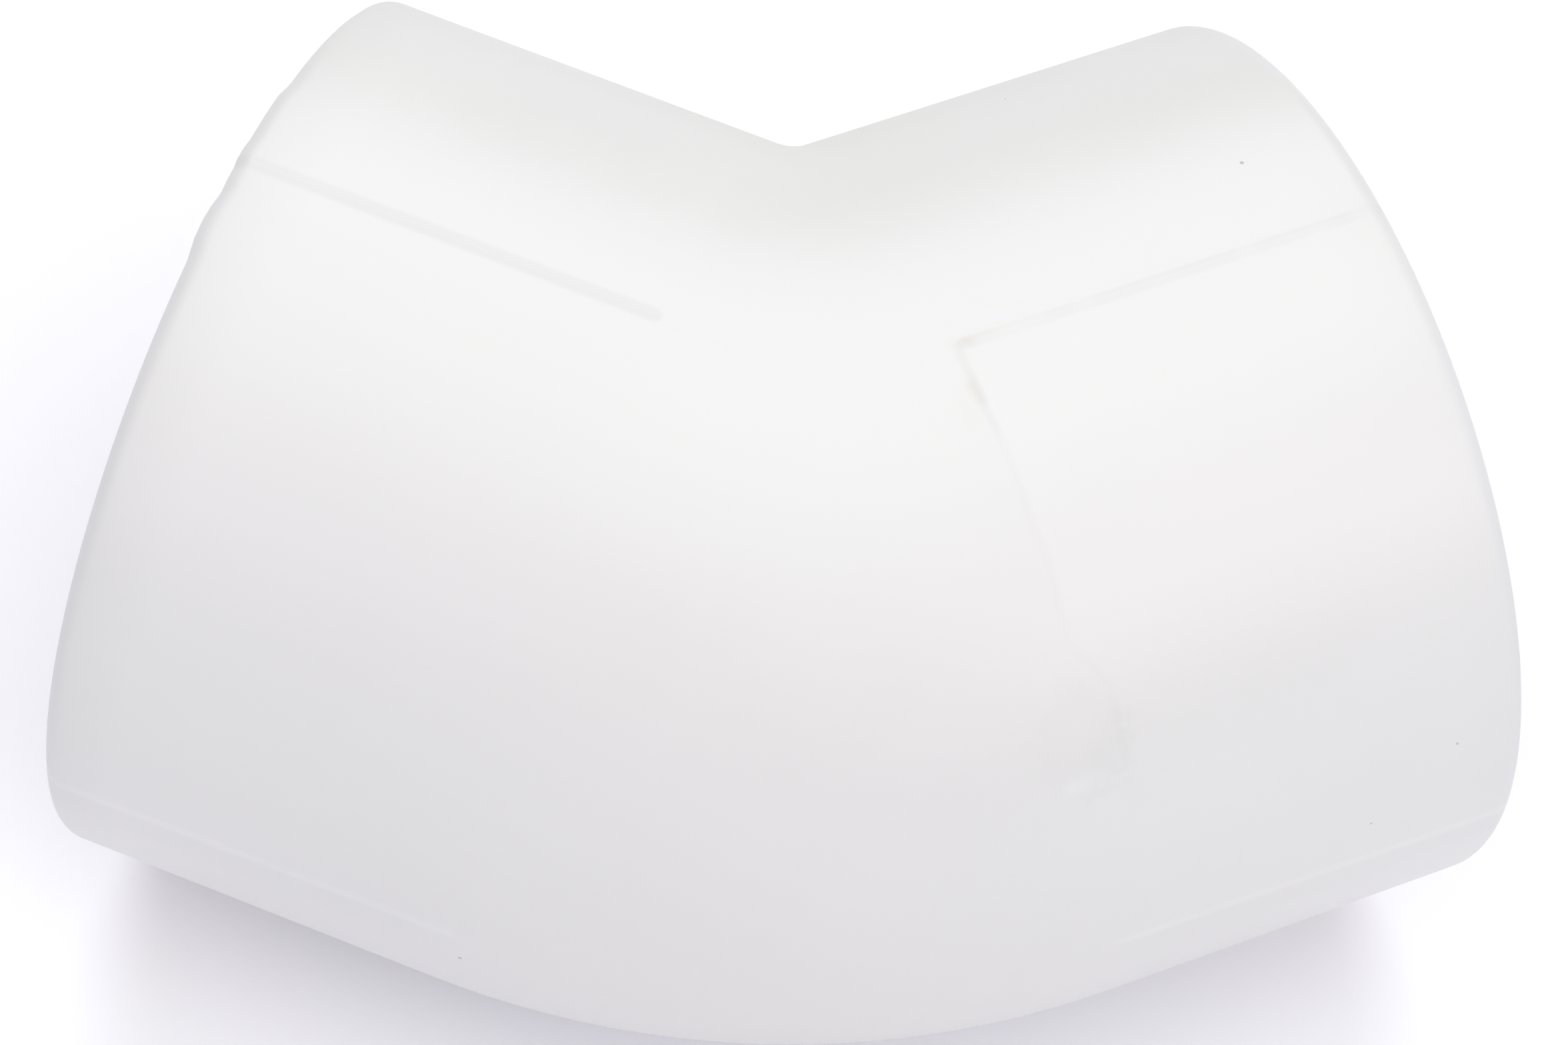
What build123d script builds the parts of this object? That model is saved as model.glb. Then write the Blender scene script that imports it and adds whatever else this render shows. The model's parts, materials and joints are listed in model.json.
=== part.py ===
"""A 45 degree push-fit pipe elbow with two like mouths.

The moulded body is a plain round elbow. Each mouth holds a rubber seal ring in a
counterbore, kept in by a retaining ring that snaps in flush with the rim.
The elbow lies on its side with its bend level: +Z is up, the heel of the bend
faces -Y and the mouths face out to -X (left) and +X (right), both turned to +Y.
"""
from build123d import *
import os
from math import cos, radians, sin, tan

# Driving dimensions, in millimetres and degrees.
pipe_diameter = 40.0
socket_clearance = 0.2
seal_space = 4.7
mouth_wall = 3.1
bend_angle = 45.0
throat_radius = 1.3
throat_tightening = 3.3
mouth_distance = 37.3
waterway_step = 2.2
stop_setback = 1.3
rim_round = 1.3
seal_length = 5.8
ring_thickness = 3.2
snap_height = 0.5
snap_width = 1.0
ring_lead_in = 0.8
ring_bore_clearance = 0.2
ring_gap = 0.05
seal_gap = 0.1
lip_share_of_seal = 0.2
lip_tip_share_of_lip = 0.4
lip_root_share_of_lip = 1.2
root_share_of_space = 0.45
crest_share_of_bead = 0.4

# Radii and lengths that follow from them.
pipe_radius = pipe_diameter / 2
socket_radius = pipe_radius + socket_clearance
waterway_radius = socket_radius - waterway_step
counterbore_radius = socket_radius + seal_space
body_radius = counterbore_radius + mouth_wall
bend_radius = body_radius + throat_radius
half_bend = radians(bend_angle / 2)
leg_length = mouth_distance - bend_radius * tan(half_bend)
socket_depth = leg_length - stop_setback
counterbore_depth = ring_thickness + seal_length + seal_gap
ring_bore_radius = socket_radius + ring_bore_clearance
seal_bore_radius = pipe_radius + socket_clearance / 2
overrun = 2.0

SIDES = {"left": -1, "right": 1}


def mouth_centre(side):
    """The centre of a mouth, measured from the centre of the bend's arc."""
    across = bend_radius * sin(half_bend) + leg_length * cos(half_bend)
    along = leg_length * sin(half_bend) - bend_radius * cos(half_bend)
    return (side * across, along, 0)


def mouth_plane(side):
    """The plane of a mouth, with its normal pointing out of the elbow."""
    outward = (side * cos(half_bend), sin(half_bend), 0)
    return Plane(origin=mouth_centre(side), x_dir=(0, 0, 1), z_dir=outward)


def to_base(shape):
    """Moves a shape so that the elbow's underside is at Z 0, centred in plan."""
    heel = -bend_radius - body_radius
    rim = mouth_centre(1)[1] + (body_radius - rim_round) * cos(half_bend)
    rim += rim_round * (1 - sin(half_bend))
    return Pos(0, -(heel + rim) / 2, body_radius) * shape


def bent_rod(radius, overshoot=0.0):
    """A round rod through the bend and both legs, past each mouth by the overshoot."""
    start = (-bend_radius * sin(half_bend), -bend_radius * cos(half_bend), 0)
    inward = (cos(half_bend), -sin(half_bend), 0)
    section = Plane(origin=start, z_dir=inward) * Circle(radius)
    rod = revolve(section, Axis.Z, bend_angle)
    length = leg_length + overshoot
    for side in SIDES.values():
        rod += mouth_plane(side) * Pos(0, 0, overshoot - length / 2) * Cylinder(radius, length)
    return rod


def throat_rod():
    """A rod along the same legs that turns tighter, to cut the throat to its sharper turn."""
    tight_radius = bend_radius - throat_tightening
    centre_y = -throat_tightening / cos(half_bend)
    start = (-tight_radius * sin(half_bend), centre_y - tight_radius * cos(half_bend), 0)
    heelward = (-sin(half_bend), -cos(half_bend), 0)
    inward = (cos(half_bend), -sin(half_bend), 0)
    far_side = Rectangle(body_radius + tight_radius, 2 * body_radius)
    outline = Circle(body_radius) & (Pos((body_radius - tight_radius) / 2, 0) * far_side)
    section = Plane(origin=start, x_dir=heelward, z_dir=inward) * outline
    rod = revolve(section, Axis((0, centre_y, 0), (0, 0, 1)), bend_angle)
    length = mouth_distance + body_radius
    half_space = Box(2 * length, 4 * length, 4 * length)
    for side in SIDES.values():
        leg = mouth_plane(side) * Pos(0, 0, overrun - length / 2) * Cylinder(body_radius, length)
        rod += leg & (Pos(side * length, 0, 0) * half_space)
    return rod


def turned(outline):
    """A ring turned from points of radius and depth, with depth 0 at the mouth."""
    points = [(radius, -depth) for radius, depth in outline]
    face = Plane.XZ * make_face(Polyline(points, close=True))
    return revolve(face, Axis.Z)


def recess(radius, start, end):
    """A round recess about a mouth's axis, between two depths."""
    height = end - start
    return Pos(0, 0, -(start + end) / 2) * Cylinder(radius, height)


def mouth_recesses():
    """The socket for the pipe, the seal's counterbore and the snap groove."""
    snap_middle = ring_thickness / 2
    groove_start = snap_middle - snap_width / 2 - ring_gap
    groove_end = snap_middle + snap_width / 2 + ring_gap
    socket = recess(socket_radius, -overrun, socket_depth)
    counterbore = recess(counterbore_radius, -overrun, counterbore_depth)
    groove = recess(counterbore_radius + snap_height, groove_start, groove_end)
    return socket + counterbore + groove


def is_rim(edge):
    """Whether a circular edge lies at one of the two mouths."""
    centres = [Vector(mouth_centre(side)) for side in SIDES.values()]
    return any((edge.arc_center - centre).length < rim_round for centre in centres)


def elbow_body():
    """The moulded elbow, with a stop for the pipe at the end of each socket."""
    solid = bent_rod(body_radius)
    circles = solid.edges().filter_by(GeomType.CIRCLE)
    solid = fillet([edge for edge in circles if is_rim(edge)], rim_round)
    solid = solid & throat_rod()
    hollow = bent_rod(waterway_radius, overrun)
    for side in SIDES.values():
        hollow += mouth_plane(side) * mouth_recesses()
    return solid - hollow


def seal_ring():
    """The rubber ring at its fitted size, with two lips against the pipe."""
    outer = counterbore_radius - seal_gap
    root = seal_bore_radius + seal_space * root_share_of_space
    start = ring_thickness
    end = ring_thickness + seal_length
    lip = seal_length * lip_share_of_seal
    tip = lip * lip_tip_share_of_lip
    flank = lip * lip_root_share_of_lip
    outline = [
        (outer, start),
        (outer, end),
        (seal_bore_radius + lip, end),
        (seal_bore_radius, end - lip + tip),
        (seal_bore_radius, end - lip),
        (root, end - lip - flank),
        (root, start + lip + flank),
        (seal_bore_radius, start + lip),
        (seal_bore_radius, start + lip - tip),
        (seal_bore_radius + lip, start),
    ]
    return turned(outline)


def retaining_ring():
    """The stiff ring that closes the counterbore, with a snap bead round it."""
    outer = counterbore_radius - ring_gap
    bead = counterbore_radius + snap_height - ring_gap
    middle = ring_thickness / 2
    crest = snap_width * crest_share_of_bead / 2
    outline = [
        (ring_bore_radius + ring_lead_in, 0),
        (outer, 0),
        (outer, middle - snap_width / 2),
        (bead, middle - crest),
        (bead, middle + crest),
        (outer, middle + snap_width / 2),
        (outer, ring_thickness),
        (ring_bore_radius, ring_thickness),
        (ring_bore_radius, ring_lead_in),
    ]
    return turned(outline)


def write(shape, node):
    """Writes one sub-part in the elbow's own frame."""
    shape = to_base(shape)
    shape.label = node
    export_step(shape, f"parts/{node}.step")


os.makedirs("parts", exist_ok=True)
write(elbow_body(), "elbow_body")
for name, side in SIDES.items():
    place = mouth_plane(side)
    write(place * seal_ring(), f"{name}_seal_ring")
    write(place * retaining_ring(), f"{name}_retaining_ring")
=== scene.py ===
import json
import math
import bpy
from mathutils import Matrix, Vector


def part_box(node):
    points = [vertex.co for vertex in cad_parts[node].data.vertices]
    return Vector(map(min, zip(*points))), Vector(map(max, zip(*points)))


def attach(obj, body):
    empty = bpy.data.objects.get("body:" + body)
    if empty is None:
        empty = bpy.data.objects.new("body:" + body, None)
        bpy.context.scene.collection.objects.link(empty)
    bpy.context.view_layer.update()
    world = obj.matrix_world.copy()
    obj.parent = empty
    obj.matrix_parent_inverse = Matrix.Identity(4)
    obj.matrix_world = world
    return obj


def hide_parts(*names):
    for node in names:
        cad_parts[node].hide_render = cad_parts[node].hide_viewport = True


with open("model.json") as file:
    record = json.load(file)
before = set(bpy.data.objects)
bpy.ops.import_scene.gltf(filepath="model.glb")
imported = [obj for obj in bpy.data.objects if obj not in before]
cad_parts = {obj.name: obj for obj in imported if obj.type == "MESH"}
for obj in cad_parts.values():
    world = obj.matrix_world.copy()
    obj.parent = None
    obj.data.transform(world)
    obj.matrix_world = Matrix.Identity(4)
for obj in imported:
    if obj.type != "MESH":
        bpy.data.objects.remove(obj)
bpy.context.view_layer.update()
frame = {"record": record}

# ---------------------------------------------------------------------------------------
# The elbow's layout. It lies on its side on a table, heel towards the front, and its two
# legs turn away from the line of the bend by half of its 45 degrees each. The pipes'
# axes come from the sockets in the record, and the outside sizes from the moulded body.
low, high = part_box("elbow_body")
sockets = {mount["name"]: mount for mount in frame["record"]["mounts"]}
half_bend = math.asin(sockets["right_socket"]["axis"][1])
body_radius = (high.z - low.z) / 2
throat_radius = 0.0013
rim_round = 0.0013
bend_radius = body_radius + throat_radius
socket_place = Vector(sockets["right_socket"]["pos_m"])
axes_meet = socket_place.y - socket_place.x * math.tan(half_bend)
bend_centre = Vector((0, axes_meet + bend_radius / math.cos(half_bend), socket_place.z))
rim_reach = (body_radius - rim_round) * math.sin(half_bend) + rim_round * (1 - math.cos(half_bend))
leg_length = (high.x - rim_reach - bend_radius * math.sin(half_bend)) / math.cos(half_bend)

# ---------------------------------------------------------------------------------------
# The viewpoint: a long lens, well above the heel side and a little to the left, held
# slightly turned, with both mouths facing away.
camera_azimuth = math.radians(-7.45)
camera_elevation = math.radians(59.28)
camera_roll = math.radians(7.86)
camera_distance = 0.392
aim_right = 0.0003
aim_heelward = 0.0242
aim = bend_centre + Vector((aim_right, -aim_heelward, 0))
back = Vector((
    math.sin(camera_azimuth) * math.cos(camera_elevation),
    -math.cos(camera_azimuth) * math.cos(camera_elevation),
    math.sin(camera_elevation),
))
camera = bpy.data.objects.new("camera", bpy.data.cameras.new("camera"))
camera.data.lens = 143.65
camera.data.sensor_width = 36
camera.data.clip_start = 0.01
level = back.to_track_quat("Z", "Y").to_matrix().to_4x4()
camera.matrix_world = (
    Matrix.Translation(aim + back * camera_distance) @ level @ Matrix.Rotation(camera_roll, 4, "Z")
)
bpy.context.collection.objects.link(camera)
bpy.context.scene.camera = camera

# ---------------------------------------------------------------------------------------
# The studio: a white table that runs far past the elbow, a wide soft light overhead, four
# smaller softboxes, two bluish windows low at the sides, and a pale warm room.
table_mesh = bpy.data.meshes.new("table_top")
table_reach = 3.0
table_corners = [(x * table_reach, y * table_reach, 0) for x, y in ((-1, -1), (1, -1), (1, 1), (-1, 1))]
table_mesh.from_pydata(table_corners, [], [(0, 1, 2, 3)])
table_top = bpy.data.objects.new("table_top", table_mesh)
bpy.context.collection.objects.link(table_top)
table_paint = bpy.data.materials.new("table_paint")
table_paint.use_nodes = True
table_shader = table_paint.node_tree.nodes["Principled BSDF"]
table_shader.inputs["Base Color"].default_value = (0.945, 0.94, 0.965, 1)
table_shader.inputs["Roughness"].default_value = 0.8
table_shader.inputs["Emission Color"].default_value = (1, 1, 1, 1)
table_shader.inputs["Emission Strength"].default_value = 0.025
table_mesh.materials.append(table_paint)


def soft_light(name, place, size, power, colour):
    """A square area light that faces the elbow."""
    lamp = bpy.data.lights.new(name, "AREA")
    lamp.size = size
    lamp.energy = power
    lamp.color = colour
    light = bpy.data.objects.new(name, lamp)
    light.location = place
    light.rotation_euler = (Vector(place) - aim).to_track_quat("Z", "Y").to_euler()
    bpy.context.collection.objects.link(light)


soft_light("overhead_softbox", (0, 0, 0.9), 0.9, 4.59, (0.954, 0.994, 1.0))
soft_light("left_softbox", (-0.55, -0.5, 0.6), 0.5, 1.25, (0.717, 0.784, 1.0))
soft_light("right_softbox", (0.55, -0.5, 0.6), 0.5, 1.96, (1.0, 0.984, 0.948))
soft_light("right_window", (0.9, -0.1, 0.3), 0.5, 0.865, (0.107, 0.307, 1.0))
soft_light("left_window", (-0.9, -0.1, 0.3), 0.5, 0.375, (0.090, 0.217, 1.0))
soft_light("back_softbox", (0, 0.65, 0.6), 0.5, 1.93, (0.859, 0.864, 1.0))
soft_light("front_card", (0, -0.9, 0.25), 0.5, 0.328, (0.608, 0.401, 1.0))
room = bpy.data.worlds.new("room")
room.use_nodes = True
room_light = room.node_tree.nodes["Background"]
room_light.inputs["Color"].default_value = (1.0, 0.941, 0.843, 1)
room_light.inputs["Strength"].default_value = 0.435
bpy.context.scene.world = room
bpy.context.scene.view_settings.view_transform = "Standard"

# ---------------------------------------------------------------------------------------
# The elbow body: one injection moulding in white PVC. Its wall is the same all round, and
# the cores that shape its hollow pull out through the mouths, so every inner size steps
# down from the rim: the seal's counterbore, the socket for the pipe and the waterway.
# The wall is turned straight along its centre line, and then bent by the elbow's rule.
counterbore_radius = 0.0249
counterbore_depth = 0.0091
snap_height = 0.0005
snap_start = 0.00105
snap_end = 0.00215
socket_radius = sockets["right_socket"]["dims"]["r_mm"] / 1000
waterway_radius = 0.018
stop_setback = 0.0013
edge_ease = 0.00025
half_length = bend_radius * half_bend + leg_length
skin_start = counterbore_radius + 0.0007
rim_steps = 8
longest_step = 0.0011

left_mark_start = -0.0021
right_mark_start = -0.0030
stripe_centre = -0.001
stripe_half_width = 0.0005
ribbon_centre = 0.0002
ribbon_half_width = 0.0004
flash_half_width = 0.0004
flash_edge = 0.0003


def wall_outline():
    """The wall's outline from the middle of its outside, round the rim, to its inside."""
    end = half_length
    stop = bend_radius * half_bend + stop_setback
    points = [(0, body_radius), (end - rim_round, body_radius)]
    for step in range(1, rim_steps + 1):
        angle = math.radians(90 * step / rim_steps)
        across = body_radius - rim_round + rim_round * math.cos(angle)
        points.append((end - rim_round + rim_round * math.sin(angle), across))
    points += [
        (end, counterbore_radius + edge_ease),
        (end - edge_ease, counterbore_radius),
        (end - snap_start, counterbore_radius),
        (end - snap_start, counterbore_radius + snap_height),
        (end - snap_end, counterbore_radius + snap_height),
        (end - snap_end, counterbore_radius),
        (end - counterbore_depth, counterbore_radius),
        (end - counterbore_depth, socket_radius + edge_ease),
        (end - counterbore_depth - edge_ease, socket_radius),
        (stop, socket_radius),
        (stop, waterway_radius + edge_ease),
        (stop - edge_ease, waterway_radius),
        (0, waterway_radius),
    ]
    return points


def divided(points, longest):
    """The same outline with no step longer than asked."""
    fine = []
    for (along, across), (next_along, next_across) in zip(points, points[1:]):
        length = math.hypot(next_along - along, next_across - across)
        count = max(1, math.ceil(length / longest))
        for step in range(count):
            part = step / count
            fine.append((along + (next_along - along) * part, across + (next_across - across) * part))
    return fine + [points[-1]]


def columns_round_the_wall():
    """Angles round the wall from its crown, close together along the mould's four lines."""
    near_line, fine_steps, wide_steps = 3.5, 14, 56
    quarter = [near_line * step / fine_steps for step in range(-fine_steps, fine_steps)]
    quarter += [near_line + (90 - 2 * near_line) * step / wide_steps for step in range(wide_steps)]
    return [math.radians(90 * turn + angle) for turn in range(4) for angle in quarter]


def straight_wall(name):
    """The whole wall as a straight tube along X, with its skin marked for the relief."""
    half = divided(wall_outline(), longest_step)
    outline = half + [(-along, across) for along, across in reversed(half[1:-1])]
    angles = columns_round_the_wall()
    points = []
    for along, across in outline:
        for angle in angles:
            points.append((along, -across * math.sin(angle), across * math.cos(angle)))
    faces = []
    rows, columns = len(outline), len(angles)
    for row in range(rows):
        for column in range(columns):
            after, beside = (row + 1) % rows, (column + 1) % columns
            corners = [(row, column), (row, beside), (after, beside), (after, column)]
            faces.append([r * columns + c for r, c in corners])
    mesh = bpy.data.meshes.new(name)
    mesh.from_pydata(points, [], faces)
    skin = mesh.attributes.new("skin", "FLOAT", "POINT")
    for index, (along, across) in enumerate(outline):
        on_skin = 1.0 if math.isclose(across, body_radius) else 0.0
        for column in range(columns):
            skin.data[index * columns + column].value = on_skin
    return mesh


class Sums:
    """Short calls that add number nodes to one node tree."""

    def __init__(self, tree):
        self.tree = tree

    def put(self, socket, value):
        if isinstance(value, bpy.types.NodeSocket):
            self.tree.links.new(value, socket)
        else:
            socket.default_value = value

    def math(self, operation, *values):
        node = self.tree.nodes.new("ShaderNodeMath")
        node.operation = operation
        for socket, value in zip(node.inputs, values):
            self.put(socket, value)
        return node.outputs[0]

    def ramp(self, value, start, end, low=0.0, high=1.0):
        node = self.tree.nodes.new("ShaderNodeMapRange")
        node.interpolation_type = "SMOOTHSTEP"
        for name, number in zip(("Value", "From Min", "From Max", "To Min", "To Max"),
                                (value, start, end, low, high)):
            self.put(node.inputs[name], number)
        return node.outputs[0]

    def split(self, vector):
        node = self.tree.nodes.new("ShaderNodeSeparateXYZ")
        self.put(node.inputs[0], vector)
        return node.outputs

    def joined(self, *values):
        node = self.tree.nodes.new("ShaderNodeCombineXYZ")
        for socket, value in zip(node.inputs, values):
            self.put(socket, value)
        return node.outputs[0]

    def vector(self, operation, *values):
        node = self.tree.nodes.new("ShaderNodeVectorMath")
        node.operation = operation
        for socket, value in zip(node.inputs, values):
            self.put(socket, value)
        return next(socket for socket in node.outputs if socket.enabled)

    def length(self, one, other):
        squares = [self.math("MULTIPLY", value, value) for value in (one, other)]
        return self.math("SQRT", self.math("ADD", *squares))

    def noise(self, place, scale, detail):
        node = self.tree.nodes.new("ShaderNodeTexNoise")
        for name, value in (("Vector", place), ("Scale", scale), ("Detail", detail)):
            self.put(node.inputs[name], value)
        return node.outputs[0]

    def mix(self, share, one, other):
        node = self.tree.nodes.new("ShaderNodeMix")
        node.data_type = "VECTOR"
        self.put(node.inputs[0], share)
        self.put(node.inputs[4], one)
        self.put(node.inputs[5], other)
        return node.outputs[1]


def leg_place(sums, place, radius, turn):
    """How far a point lies along its leg past the bend and to the heel, and its x and z."""
    x, y, z = sums.split(place)
    sine, cosine = sums.math("SINE", turn), sums.math("COSINE", turn)
    out = sums.math("SUBTRACT", sums.math("ABSOLUTE", x), sums.math("MULTIPLY", radius, sine))
    forth = sums.math("ADD", y, sums.math("MULTIPLY", radius, cosine))
    along = sums.math("ADD", sums.math("MULTIPLY", out, cosine), sums.math("MULTIPLY", forth, sine))
    heelward = sums.math("SUBTRACT", sums.math("MULTIPLY", out, sine),
                         sums.math("MULTIPLY", forth, cosine))
    return along, heelward, x, z


def line_mask(sums, along, across, start, centre, width, leg, soft):
    """A straight mark down a leg, from its round inner end to the rim."""
    past = sums.math("MINIMUM", sums.math("SUBTRACT", along, start + width), 0.0)
    past = sums.math("ADD", past, sums.math("MAXIMUM", sums.math("SUBTRACT", along, leg), 0.0))
    aside = sums.math("SUBTRACT", across, centre)
    return sums.ramp(sums.length(past, aside), width - soft, width + soft, 1.0, 0.0)


def parting_height(sums, along, right, z):
    """Height above the line where the mould's halves met, which falls along each leg."""
    left_start, right_rise, fall_rate = 0.0004, 0.0007, 0.025
    start = sums.math("ADD", left_start, sums.math("MULTIPLY", right, right_rise))
    fall = sums.math("MULTIPLY", along, -fall_rate)
    return sums.math("SUBTRACT", z, sums.math("ADD", start, fall))


def bending_tree():
    """Bends a straight wall round the elbow and raises the mould's marks on its skin."""
    tree = bpy.data.node_groups.new("bend_the_wall", "GeometryNodeTree")
    face = tree.interface
    face.new_socket("Geometry", in_out="INPUT", socket_type="NodeSocketGeometry")
    for name in ("Bend Radius", "Half Bend", "Leg Length", "Throat Tightening", "Crease Round",
                 "Skin Radius", "Stripe Depth", "Ribbon Depth", "Flash Height", "Rim Burr"):
        face.new_socket(name, in_out="INPUT", socket_type="NodeSocketFloat")
    face.new_socket("Bend Centre", in_out="INPUT", socket_type="NodeSocketVector")
    face.new_socket("Material", in_out="INPUT", socket_type="NodeSocketMaterial")
    face.new_socket("Geometry", in_out="OUTPUT", socket_type="NodeSocketGeometry")
    nodes, links = tree.nodes, tree.links
    given = nodes.new("NodeGroupInput").outputs
    sums = Sums(tree)
    s, y, z = sums.split(nodes.new("GeometryNodeInputPosition").outputs[0])
    half = given["Half Bend"]
    bend_run = sums.math("MULTIPLY", given["Bend Radius"], half)

    # Each line along the wall is two straights and an arc. The arc is round the bend's
    # centre, but on the throat side the skin's turns tighter, down to a fine crease.
    fully_tight = 0.006
    skin_side = sums.math("GREATER_THAN", sums.length(y, z), given["Skin Radius"])
    tightening = sums.math("MULTIPLY", sums.ramp(y, 0.0, fully_tight), skin_side)
    tightening = sums.math("MULTIPLY", tightening, given["Throat Tightening"])
    swing = sums.math("SUBTRACT", given["Bend Radius"], y)
    radius = sums.math("MAXIMUM", sums.math("SUBTRACT", swing, tightening), given["Crease Round"])
    slack = sums.math("SUBTRACT", swing, radius)
    turn_run = sums.math("ADD", sums.math("MULTIPLY", radius, half),
                         sums.math("MULTIPLY", slack, sums.math("TANGENT", half)))
    distance = sums.math("ABSOLUTE", s)
    run = sums.math("DIVIDE", sums.math("MINIMUM", distance, bend_run), bend_run)
    run = sums.math("ADD", sums.math("MULTIPLY", run, turn_run),
                    sums.math("MAXIMUM", sums.math("SUBTRACT", distance, bend_run), 0.0))
    angle = sums.math("MINIMUM", sums.math("DIVIDE", run, radius), half)
    straight = sums.math("SUBTRACT", run, sums.math("MULTIPLY", angle, radius))
    sine, cosine = sums.math("SINE", angle), sums.math("COSINE", angle)
    bent_x = sums.math("ADD", sums.math("MULTIPLY", radius, sine),
                       sums.math("MULTIPLY", straight, cosine))
    bent_x = sums.math("MULTIPLY", bent_x, sums.math("SIGN", s))
    bent_y = sums.math("SUBTRACT", sums.math("MULTIPLY", straight, sine),
                       sums.math("MULTIPLY", radius, cosine))
    bent_y = sums.math("SUBTRACT", bent_y, sums.math("DIVIDE", slack, sums.math("COSINE", half)))
    bend = nodes.new("GeometryNodeSetPosition")
    links.new(given["Geometry"], bend.inputs["Geometry"])
    links.new(sums.joined(bent_x, bent_y, z), bend.inputs["Position"])

    here = nodes.new("GeometryNodeInputPosition").outputs[0]
    leg = given["Leg Length"]
    mark_edge = 0.0002
    along, heelward, x, z = leg_place(sums, here, given["Bend Radius"], half)
    left = sums.math("LESS_THAN", x, 0.0)
    right = sums.math("SUBTRACT", 1.0, left)
    stripe = line_mask(sums, along, heelward, left_mark_start, stripe_centre, stripe_half_width,
                       leg, mark_edge)
    stripe = sums.math("MULTIPLY", stripe, left)
    ribbon = line_mask(sums, along, heelward, right_mark_start, ribbon_centre, ribbon_half_width,
                       leg, mark_edge)
    ribbon = sums.math("MULTIPLY", ribbon, right)
    parting = parting_height(sums, along, right, z)
    flash = line_mask(sums, along, parting, left_mark_start, 0.0, flash_half_width, leg, flash_edge)
    cut = sums.math("MULTIPLY", stripe, given["Stripe Depth"])
    cut = sums.math("ADD", cut, sums.math("MULTIPLY", ribbon, given["Ribbon Depth"]))
    lift = sums.math("SUBTRACT", sums.math("MULTIPLY", flash, given["Flash Height"]), cut)
    skin = nodes.new("GeometryNodeInputNamedAttribute")
    skin.data_type = "FLOAT"
    skin.inputs["Name"].default_value = "skin"
    lift = sums.math("MULTIPLY", lift, skin.outputs["Attribute"])
    scale = nodes.new("ShaderNodeVectorMath")
    scale.operation = "SCALE"
    links.new(nodes.new("GeometryNodeInputNormal").outputs[0], scale.inputs[0])
    links.new(lift, scale.inputs["Scale"])

    # The left rim is uneven. It dips between the throat and the stripe and stands proud
    # just past the stripe, at these distances to the heel side of the leg's axis.
    burr = sums.math("MULTIPLY", sums.ramp(heelward, -0.0085, -0.0068, -1.0, 0.25),
                     sums.ramp(heelward, 0.0, 0.0012, 1.0, 0.0))
    burr = sums.math("MULTIPLY", burr, sums.ramp(heelward, -0.0225, -0.0175))
    for middle, reach, height in ((0.0035, 0.0026, 1.3), (-0.0019, 0.0012, 0.5)):
        aside = sums.math("ABSOLUTE", sums.math("SUBTRACT", heelward, middle))
        burr = sums.math("ADD", burr, sums.ramp(aside, reach * 0.2, reach, height, 0.0))
    burr = sums.math("MULTIPLY", sums.math("MULTIPLY", burr, given["Rim Burr"]), left)
    burr = sums.math("MULTIPLY", burr, sums.ramp(z, 0.0, 0.004))
    at_rim = sums.ramp(sums.math("SUBTRACT", leg, along), 0.0006, 0.004, 1.0, 0.0)
    at_skin = sums.ramp(sums.length(heelward, z), body_radius - 0.0022, body_radius - 0.0012)
    burr = sums.math("MULTIPLY", burr, sums.math("MULTIPLY", at_rim, at_skin))
    outward = sums.joined(sums.math("MULTIPLY", sums.math("COSINE", half), -1.0),
                          sums.math("SINE", half), 0.0)
    burr = sums.vector("MULTIPLY", outward, sums.joined(burr, burr, 0.0))
    relief = nodes.new("GeometryNodeSetPosition")
    links.new(bend.outputs[0], relief.inputs["Geometry"])
    links.new(sums.vector("ADD", scale.outputs[0], burr), relief.inputs["Offset"])

    place = nodes.new("GeometryNodeTransform")
    links.new(relief.outputs[0], place.inputs["Geometry"])
    links.new(given["Bend Centre"], place.inputs["Translation"])
    real = nodes.new("GeometryNodeRealizeInstances")
    links.new(place.outputs[0], real.inputs[0])
    paint = nodes.new("GeometryNodeSetMaterial")
    links.new(real.outputs[0], paint.inputs["Geometry"])
    links.new(given["Material"], paint.inputs["Material"])
    links.new(paint.outputs[0], nodes.new("NodeGroupOutput").inputs[0])
    return tree


def grown(obj, tree, values):
    """Runs a geometry tree on an object and keeps what it makes as a plain mesh."""
    modifier = obj.modifiers.new(tree.name, "NODES")
    modifier.node_group = tree
    for item in tree.interface.items_tree:
        if item.in_out == "INPUT" and item.name in values:
            modifier[item.identifier] = values[item.name]
    obj.update_tag()
    evaluated = obj.evaluated_get(bpy.context.evaluated_depsgraph_get())
    mesh = bpy.data.meshes.new_from_object(evaluated)
    obj.modifiers.remove(modifier)
    obj.data = mesh
    return obj


def on_bend(along, around):
    """The point of the skin, with an even bend, at a distance along the centre line and
    degrees from the crown."""
    turn = max(-half_bend, min(half_bend, along / bend_radius))
    straight = along - turn * bend_radius
    swing = bend_radius + body_radius * math.sin(math.radians(around))
    return bend_centre + Vector((
        swing * math.sin(turn) + straight * math.cos(turn),
        straight * math.sin(turn) - swing * math.cos(turn),
        body_radius * math.cos(math.radians(around)),
    ))


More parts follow.
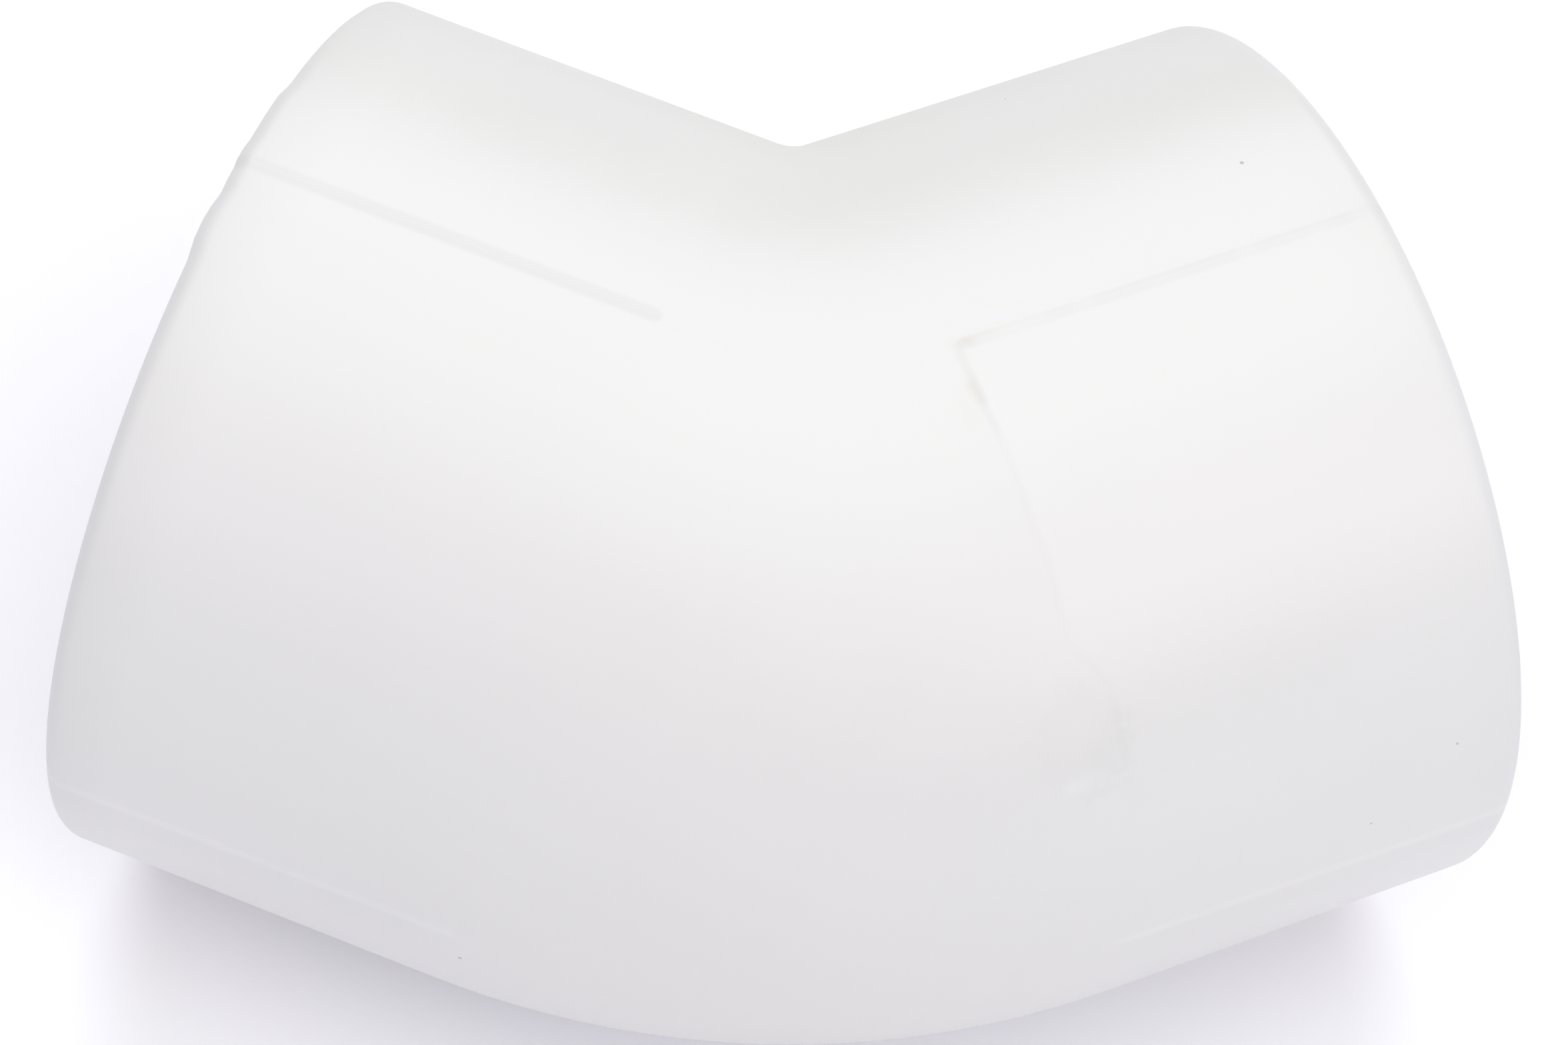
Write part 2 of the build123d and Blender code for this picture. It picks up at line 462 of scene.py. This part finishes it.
def moulded_grain():
    """A group for moulded plastic: slow mottling of its tint and a fine matt grain."""
    tree = bpy.data.node_groups.new("moulded_grain", "ShaderNodeTree")
    face = tree.interface
    face.new_socket("Place", in_out="INPUT", socket_type="NodeSocketVector")
    for name, value in (("Mottle Size", 0.012), ("Grain Size", 0.0005), ("Grain Depth", 0.000002)):
        face.new_socket(name, in_out="INPUT", socket_type="NodeSocketFloat").default_value = value
    face.new_socket("Shade", in_out="OUTPUT", socket_type="NodeSocketFloat")
    face.new_socket("Roughness", in_out="OUTPUT", socket_type="NodeSocketFloat")
    face.new_socket("Height", in_out="OUTPUT", socket_type="NodeSocketFloat")
    sums = Sums(tree)
    given = tree.nodes.new("NodeGroupInput").outputs
    result = tree.nodes.new("NodeGroupOutput").inputs
    mottle = sums.noise(given["Place"], sums.math("DIVIDE", 1.0, given["Mottle Size"]), 3.0)
    grain = sums.noise(given["Place"], sums.math("DIVIDE", 1.0, given["Grain Size"]), 2.0)
    sums.put(result["Shade"], sums.ramp(mottle, 0.3, 0.7, 0.992, 1.004))
    sums.put(result["Roughness"], sums.ramp(mottle, 0.3, 0.7, 0.40, 0.46))
    sums.put(result["Height"], sums.math("MULTIPLY", grain, given["Grain Depth"]))
    return tree


def line_between(sums, place, one, other):
    """Distance from the straight line between two points."""
    off = sums.vector("SUBTRACT", place, one)
    run = other - one
    share = sums.math("DIVIDE", sums.vector("DOT_PRODUCT", off, run), run.length_squared)
    share = sums.math("MINIMUM", sums.math("MAXIMUM", share, 0.0), 1.0)
    return sums.vector("DISTANCE", off, sums.vector("MULTIPLY", run, sums.joined(share, share, share)))


def moulded_material(name, duller, grain_sizes):
    """A material with the moulded grain, its shader and number nodes, its place and shade."""
    material = bpy.data.materials.new(name)
    material.use_nodes = True
    tree = material.node_tree
    shader = tree.nodes["Principled BSDF"]
    sums = Sums(tree)
    place = tree.nodes.new("ShaderNodeTexCoord").outputs["Object"]
    grain = tree.nodes.new("ShaderNodeGroup")
    grain.node_tree = bpy.data.node_groups["moulded_grain"]
    for size_name, value in grain_sizes.items():
        grain.inputs[size_name].default_value = value
    sums.put(grain.inputs["Place"], place)
    sums.put(shader.inputs["Roughness"], sums.math("ADD", grain.outputs["Roughness"], duller))
    bump = tree.nodes.new("ShaderNodeBump")
    bump.inputs["Distance"].default_value = 1.0
    sums.put(bump.inputs["Height"], grain.outputs["Height"])
    sums.put(shader.inputs["Normal"], bump.outputs[0])
    return material, shader, sums, place, grain.outputs["Shade"]


def white_pvc():
    """Satin white PVC with the mould's lines, the gate's scar, a little dirt and specks, and some
    painted shade and highlight.
    """
    material, shader, sums, place, grain_shade = moulded_material("white_pvc", 0.0, {})
    shader.inputs["IOR"].default_value = 1.53
    patchy = sums.ramp(sums.noise(place, 260.0, 1.0), 0.35, 0.65, 0.5, 1.25)
    seen = sums.vector("SUBTRACT", place, bend_centre)
    along, heelward, x, z = leg_place(sums, seen, bend_radius, half_bend)
    left = sums.math("LESS_THAN", x, 0.0)
    right = sums.math("SUBTRACT", 1.0, left)

    # Marks are only on the outside of the wall.
    outside = sums.ramp(sums.length(heelward, z), skin_start, body_radius - rim_round - 0.0005)

    # The lines of the mould: a broad stripe down the left leg's crown, a fainter ribbon down the right
    # one's, and flash where the halves met, half way up both sides. The flash is a raised ridge,
    # painted paler along it as a highlight, with a band of painted shade just below it.
    stripe_dark, stripe_edge_dark, ribbon_dark, ribbon_edge_dark = 0.056, 0.014, 0.026, 0.014
    flash_painted_highlight, below_flash_painted_shade = 0.028, 0.012
    worn = sums.ramp(along, leg_length - 0.008, leg_length, 1.0, 0.6)
    stripe = line_mask(sums, along, heelward, left_mark_start, stripe_centre, stripe_half_width,
                       leg_length, 0.00018)
    lower = line_mask(sums, along, heelward, left_mark_start, stripe_centre + 0.0002, 0.0001,
                      leg_length, 0.0002)
    stripe = sums.math("ADD", sums.math("MULTIPLY", stripe, stripe_dark),
                       sums.math("MULTIPLY", lower, stripe_edge_dark))
    stripe = sums.math("MULTIPLY", sums.math("MULTIPLY", stripe, worn), left)
    ribbon = line_mask(sums, along, heelward, right_mark_start, ribbon_centre, ribbon_half_width,
                       leg_length, 0.00014)
    upper = line_mask(sums, along, heelward, right_mark_start, ribbon_centre - 0.0003, 0.0001,
                      leg_length, 0.0001)
    ribbon = sums.math("ADD", sums.math("MULTIPLY", ribbon, ribbon_dark),
                       sums.math("MULTIPLY", upper, ribbon_edge_dark))
    ribbon = sums.math("MULTIPLY", sums.math("MULTIPLY", ribbon, patchy), right)
    parting = parting_height(sums, along, right, z)
    flash = line_mask(sums, along, parting, left_mark_start, 0.0, flash_half_width, leg_length,
                      flash_edge)
    # Painted shade: a faint darker band just below the flash ridge.
    below = sums.ramp(parting, -0.0006, 0.0, 1.0, 0.0)
    below = sums.math("MULTIPLY", below, sums.ramp(along, left_mark_start, 0.003))
    below = sums.math("MULTIPLY", below, sums.ramp(parting, -0.004, -0.002))
    flash = sums.math("SUBTRACT", sums.math("MULTIPLY", flash, flash_painted_highlight),
                      sums.math("MULTIPLY", below, below_flash_painted_shade))

    # The seam of the mould's insert runs round the right leg from the ribbon's inner end.
    # It wanders, and fades to almost nothing below the gate.
    seam_dark, seam_faint, panel_painted_light = 0.038, 0.011, 0.012
    sway_reach, gate_shift = 0.0011, 0.0016
    sway = sums.math("SUBTRACT", sums.noise(place, 170.0, 1.0), 0.5)
    sway = sums.math("MULTIPLY", sway, sway_reach)
    sway = sums.math("SUBTRACT", sway, sums.ramp(heelward, 0.0174, 0.0204, 0.0, gate_shift))
    past_seam = sums.math("ADD", sums.math("SUBTRACT", along, right_mark_start), sway)
    ring = sums.ramp(sums.math("ABSOLUTE", past_seam), 0.0001, 0.00042, 1.0, 0.0)
    ring = sums.math("MULTIPLY", ring, sums.ramp(heelward, -0.0003, 0.0002))
    ring = sums.math("MULTIPLY", ring, right)
    depth = sums.ramp(heelward, 0.003, 0.012, seam_dark, seam_faint)
    depth = sums.math("ADD", depth, sums.ramp(heelward, 0.018, 0.0195, 0.0, 0.003))
    depth = sums.math("SUBTRACT", depth, sums.ramp(heelward, 0.0228, 0.0242, 0.0, 0.012))
    # Painted light: past the seam the insert's side is painted a shade paler, from the crown part way
    # down to the heel, as if it sat slightly tilted to the light.
    panel = sums.math("MULTIPLY", sums.ramp(past_seam, -0.0002, 0.0006, 0.0, panel_painted_light), right)
    panel = sums.math("MULTIPLY", panel, sums.ramp(heelward, 0.0, 0.002))
    panel = sums.math("MULTIPLY", panel, sums.ramp(heelward, 0.015, 0.020, 1.0, 0.0))
    ring = sums.math("MULTIPLY", ring, sums.math("MULTIPLY", depth, patchy))
    panel = sums.math("SUBTRACT", panel, ring)

    # The gate, where the plastic came in: a dull uneven patch across the seam, with a
    # pale spot and a short dark edge at its lower end.
    gate_along, gate_around, gate_half_width, gate_half_height = 0.0095, 51.5, 0.0031, 0.0041
    gate_place = on_bend(gate_along, gate_around)
    gate_turn = gate_along / bend_radius
    forward = Vector((math.cos(gate_turn), math.sin(gate_turn), 0))
    outward = (gate_place - on_bend(gate_along, gate_around + 180)).normalized()
    off = sums.vector("SUBTRACT", place, gate_place)
    across_gate = sums.vector("DOT_PRODUCT", off, forward)
    down_gate = sums.vector("DOT_PRODUCT", off, outward.cross(forward))
    gate = sums.length(sums.math("DIVIDE", across_gate, gate_half_width),
                       sums.math("DIVIDE", down_gate, gate_half_height))
    for scale, share in ((500.0, 0.9), (1800.0, 0.7)):
        uneven = sums.math("SUBTRACT", sums.noise(place, scale, 2.0), 0.5)
        gate = sums.math("ADD", gate, sums.math("MULTIPLY", uneven, share))
    left_dark, right_dark, spot_pale, edge_dark = 0.012, 0.025, 0.020, 0.012
    patch = sums.math("MULTIPLY", sums.ramp(across_gate, -0.001, 0.001, left_dark, right_dark), patchy)
    patch = sums.math("MULTIPLY", sums.ramp(gate, 0.75, 1.1, 1.0, 0.0), patch)
    patch = sums.math("MULTIPLY", patch, sums.ramp(sums.vector("LENGTH", off), 0.005, 0.006, 1.0, 0.0))
    pale = line_between(sums, place, on_bend(0.0089, 57.8), on_bend(0.0099, 57.5))
    pale = sums.math("MULTIPLY", sums.ramp(pale, 0.0001, 0.0009, spot_pale, 0.0), patchy)
    edge = line_between(sums, place, on_bend(0.0095, 60.0), on_bend(0.0108, 59.0))
    patch = sums.math("ADD", patch, sums.ramp(edge, 0.0001, 0.0004, edge_dark, 0.0))
    patch = sums.math("SUBTRACT", patch, pale)

    # Painted shade: the last few millimetres by each rim are painted darker, the left rim more than the
    # right, and the crook of the throat is painted darker towards its outer edge.
    from_rim = sums.math("SUBTRACT", leg_length, along)
    rim_painted_shade, left_rim_painted_shade_extra, throat_painted_shade = 0.012, 0.034, 0.056
    rim_shade_depth = sums.math("ADD", rim_painted_shade, sums.math("MULTIPLY", left, left_rim_painted_shade_extra))
    painted_shade = sums.ramp(from_rim, 0.0, 0.006, rim_shade_depth, 0.0)
    painted_shade = sums.math("ADD", painted_shade, sums.ramp(heelward, -0.0255, -0.0165, throat_painted_shade, 0.0))
    # The mould's marks are summed here with the painted highlight, painted light and painted shade.
    marks = sums.math("SUBTRACT", sums.math("ADD", flash, panel), sums.math("ADD", stripe, ribbon))
    marks = sums.math("SUBTRACT", marks, sums.math("ADD", patch, painted_shade))
    shade = sums.math("ADD", grain_shade, sums.math("MULTIPLY", marks, outside))

    # The white is a little warmer in a broad band half way down to the heel, and a little yellower at
    # the throat.
    warm = sums.math("MULTIPLY", sums.ramp(heelward, 0.003, 0.012),
                     sums.ramp(heelward, 0.018, 0.026, 1.0, 0.0))
    colour = sums.mix(warm, (0.727, 0.725, 0.709), (0.731, 0.720, 0.706))
    yellower_throat = sums.vector("DISTANCE", place, on_bend(0.002, -62))
    yellower_throat = sums.ramp(yellower_throat, 0.004, 0.016, 1.0, 0.0)
    colour = sums.mix(yellower_throat, colour, (0.724, 0.727, 0.694))
    colour = sums.vector("MULTIPLY", colour, sums.joined(shade, shade, shade))

    # A few specks of dirt, each at its distance along, degrees from the crown and size.
    for spot_along, spot_around, size in (
        (0.0300, -12.3, 0.00012), (0.0318, 71.2, 0.00008), (0.0262, 80.7, 0.00007),
        (-0.0102, 95.5, 0.00013), (0.0212, -43.8, 0.00007),
    ):
        speck = sums.vector("DISTANCE", place, on_bend(spot_along, spot_around))
        speck = sums.ramp(speck, size * 0.6, size * 1.4, 0.5, 0.0)
        colour = sums.mix(speck, colour, (0.12, 0.11, 0.10))

    # Thin stains, each between two points: brown and yellow dirt caught where the ribbon
    # meets the seam, a yellow scratch above it, and a faint line past the stripe's end.
    for one, other, reach, strength, tint in (
        ((0.0082, 0.0), (0.0090, 0.3), 0.00034, 0.055, (0.50, 0.47, 0.30)),
        ((0.0091, 0.3), (0.0093, 0.45), 0.00042, 0.11, (0.46, 0.36, 0.22)),
        ((0.0087, 0.8), (0.0085, 6.0), 0.00040, 0.065, (0.55, 0.53, 0.34)),
        ((0.0085, 6.4), (0.0087, 8.2), 0.00042, 0.10, (0.46, 0.38, 0.22)),
        ((0.0078, 8.5), (0.0080, 10.5), 0.00070, 0.045, (0.62, 0.62, 0.36)),
        ((0.0096, 0.0), (0.0116, -0.2), 0.00036, 0.05, (0.60, 0.57, 0.38)),
        ((-0.0088, -0.9), (-0.0048, 0.0), 0.00018, 0.035, (0.55, 0.55, 0.55)),
        ((0.0105, -4.9), (0.0116, -3.6), 0.00022, 0.07, (0.66, 0.66, 0.34)),
        ((0.0116, -3.6), (0.0133, -2.4), 0.00022, 0.07, (0.66, 0.66, 0.34)),
    ):
        stain = line_between(sums, place, on_bend(*one), on_bend(*other))
        stain = sums.math("MULTIPLY", sums.ramp(stain, 0.0, reach * 1.5, strength, 0.0), patchy)
        colour = sums.mix(stain, colour, tint)
    sums.put(shader.inputs["Base Color"], colour)
    return material


moulded_grain()
elbow_plastic = white_pvc()
elbow = bpy.data.objects.new("elbow_shell", straight_wall("elbow_shell"))
bpy.context.collection.objects.link(elbow)
grown(elbow, bending_tree(), {
    "Bend Radius": bend_radius,
    "Half Bend": half_bend,
    "Leg Length": leg_length,
    "Throat Tightening": 0.0033,
    "Crease Round": 0.0003,
    "Skin Radius": skin_start,
    "Stripe Depth": 0.00003,
    "Ribbon Depth": 0.00002,
    "Flash Height": 0.00003,
    "Rim Burr": 0.00017,
    "Bend Centre": bend_centre,
    "Material": elbow_plastic,
})
elbow.data.shade_smooth()
elbow.data.set_sharp_from_angle(angle=math.radians(35))
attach(elbow, "root")
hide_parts("elbow_body")

# ---------------------------------------------------------------------------------------
# The two seals: lip rings of black EPDM rubber, one in each counterbore. A seal grips the
# pipe that is pushed in, and its dull, faintly dusty skin is what shows in the mouth.
seal_rubber, seal_shader, seal_sums, seal_place, _ = moulded_material(
    "seal_rubber", 0.2, {"Mottle Size": 0.004, "Grain Size": 0.0003, "Grain Depth": 0.00001})
seal_shader.inputs["Specular IOR Level"].default_value = 0.35
dust = seal_sums.ramp(seal_sums.noise(seal_place, 700.0, 4.0), 0.5, 0.75, 0.0, 0.35)
seal_colour = seal_sums.mix(dust, (0.018, 0.018, 0.019), (0.06, 0.058, 0.055))
seal_sums.put(seal_shader.inputs["Base Color"], seal_colour)
for name in ("left_seal_ring", "right_seal_ring"):
    bpy.data.objects[name].material_slots[0].material = seal_rubber

# ---------------------------------------------------------------------------------------
# The two retaining rings: white plastic rings moulded on their own, each pressed into a
# mouth until its bead clicks into the wall's groove. They are a shade duller
# than the body, so the joint shows as a fine line inside the rim.
ring_plastic, ring_shader, ring_sums, _, ring_shade = moulded_material(
    "ring_plastic", 0.1, {"Grain Depth": 0.000004})
ring_colour = ring_sums.vector(
    "MULTIPLY", (0.69, 0.69, 0.68), ring_sums.joined(ring_shade, ring_shade, ring_shade))
ring_sums.put(ring_shader.inputs["Base Color"], ring_colour)
for name in ("left_retaining_ring", "right_retaining_ring"):
    bpy.data.objects[name].material_slots[0].material = ring_plastic
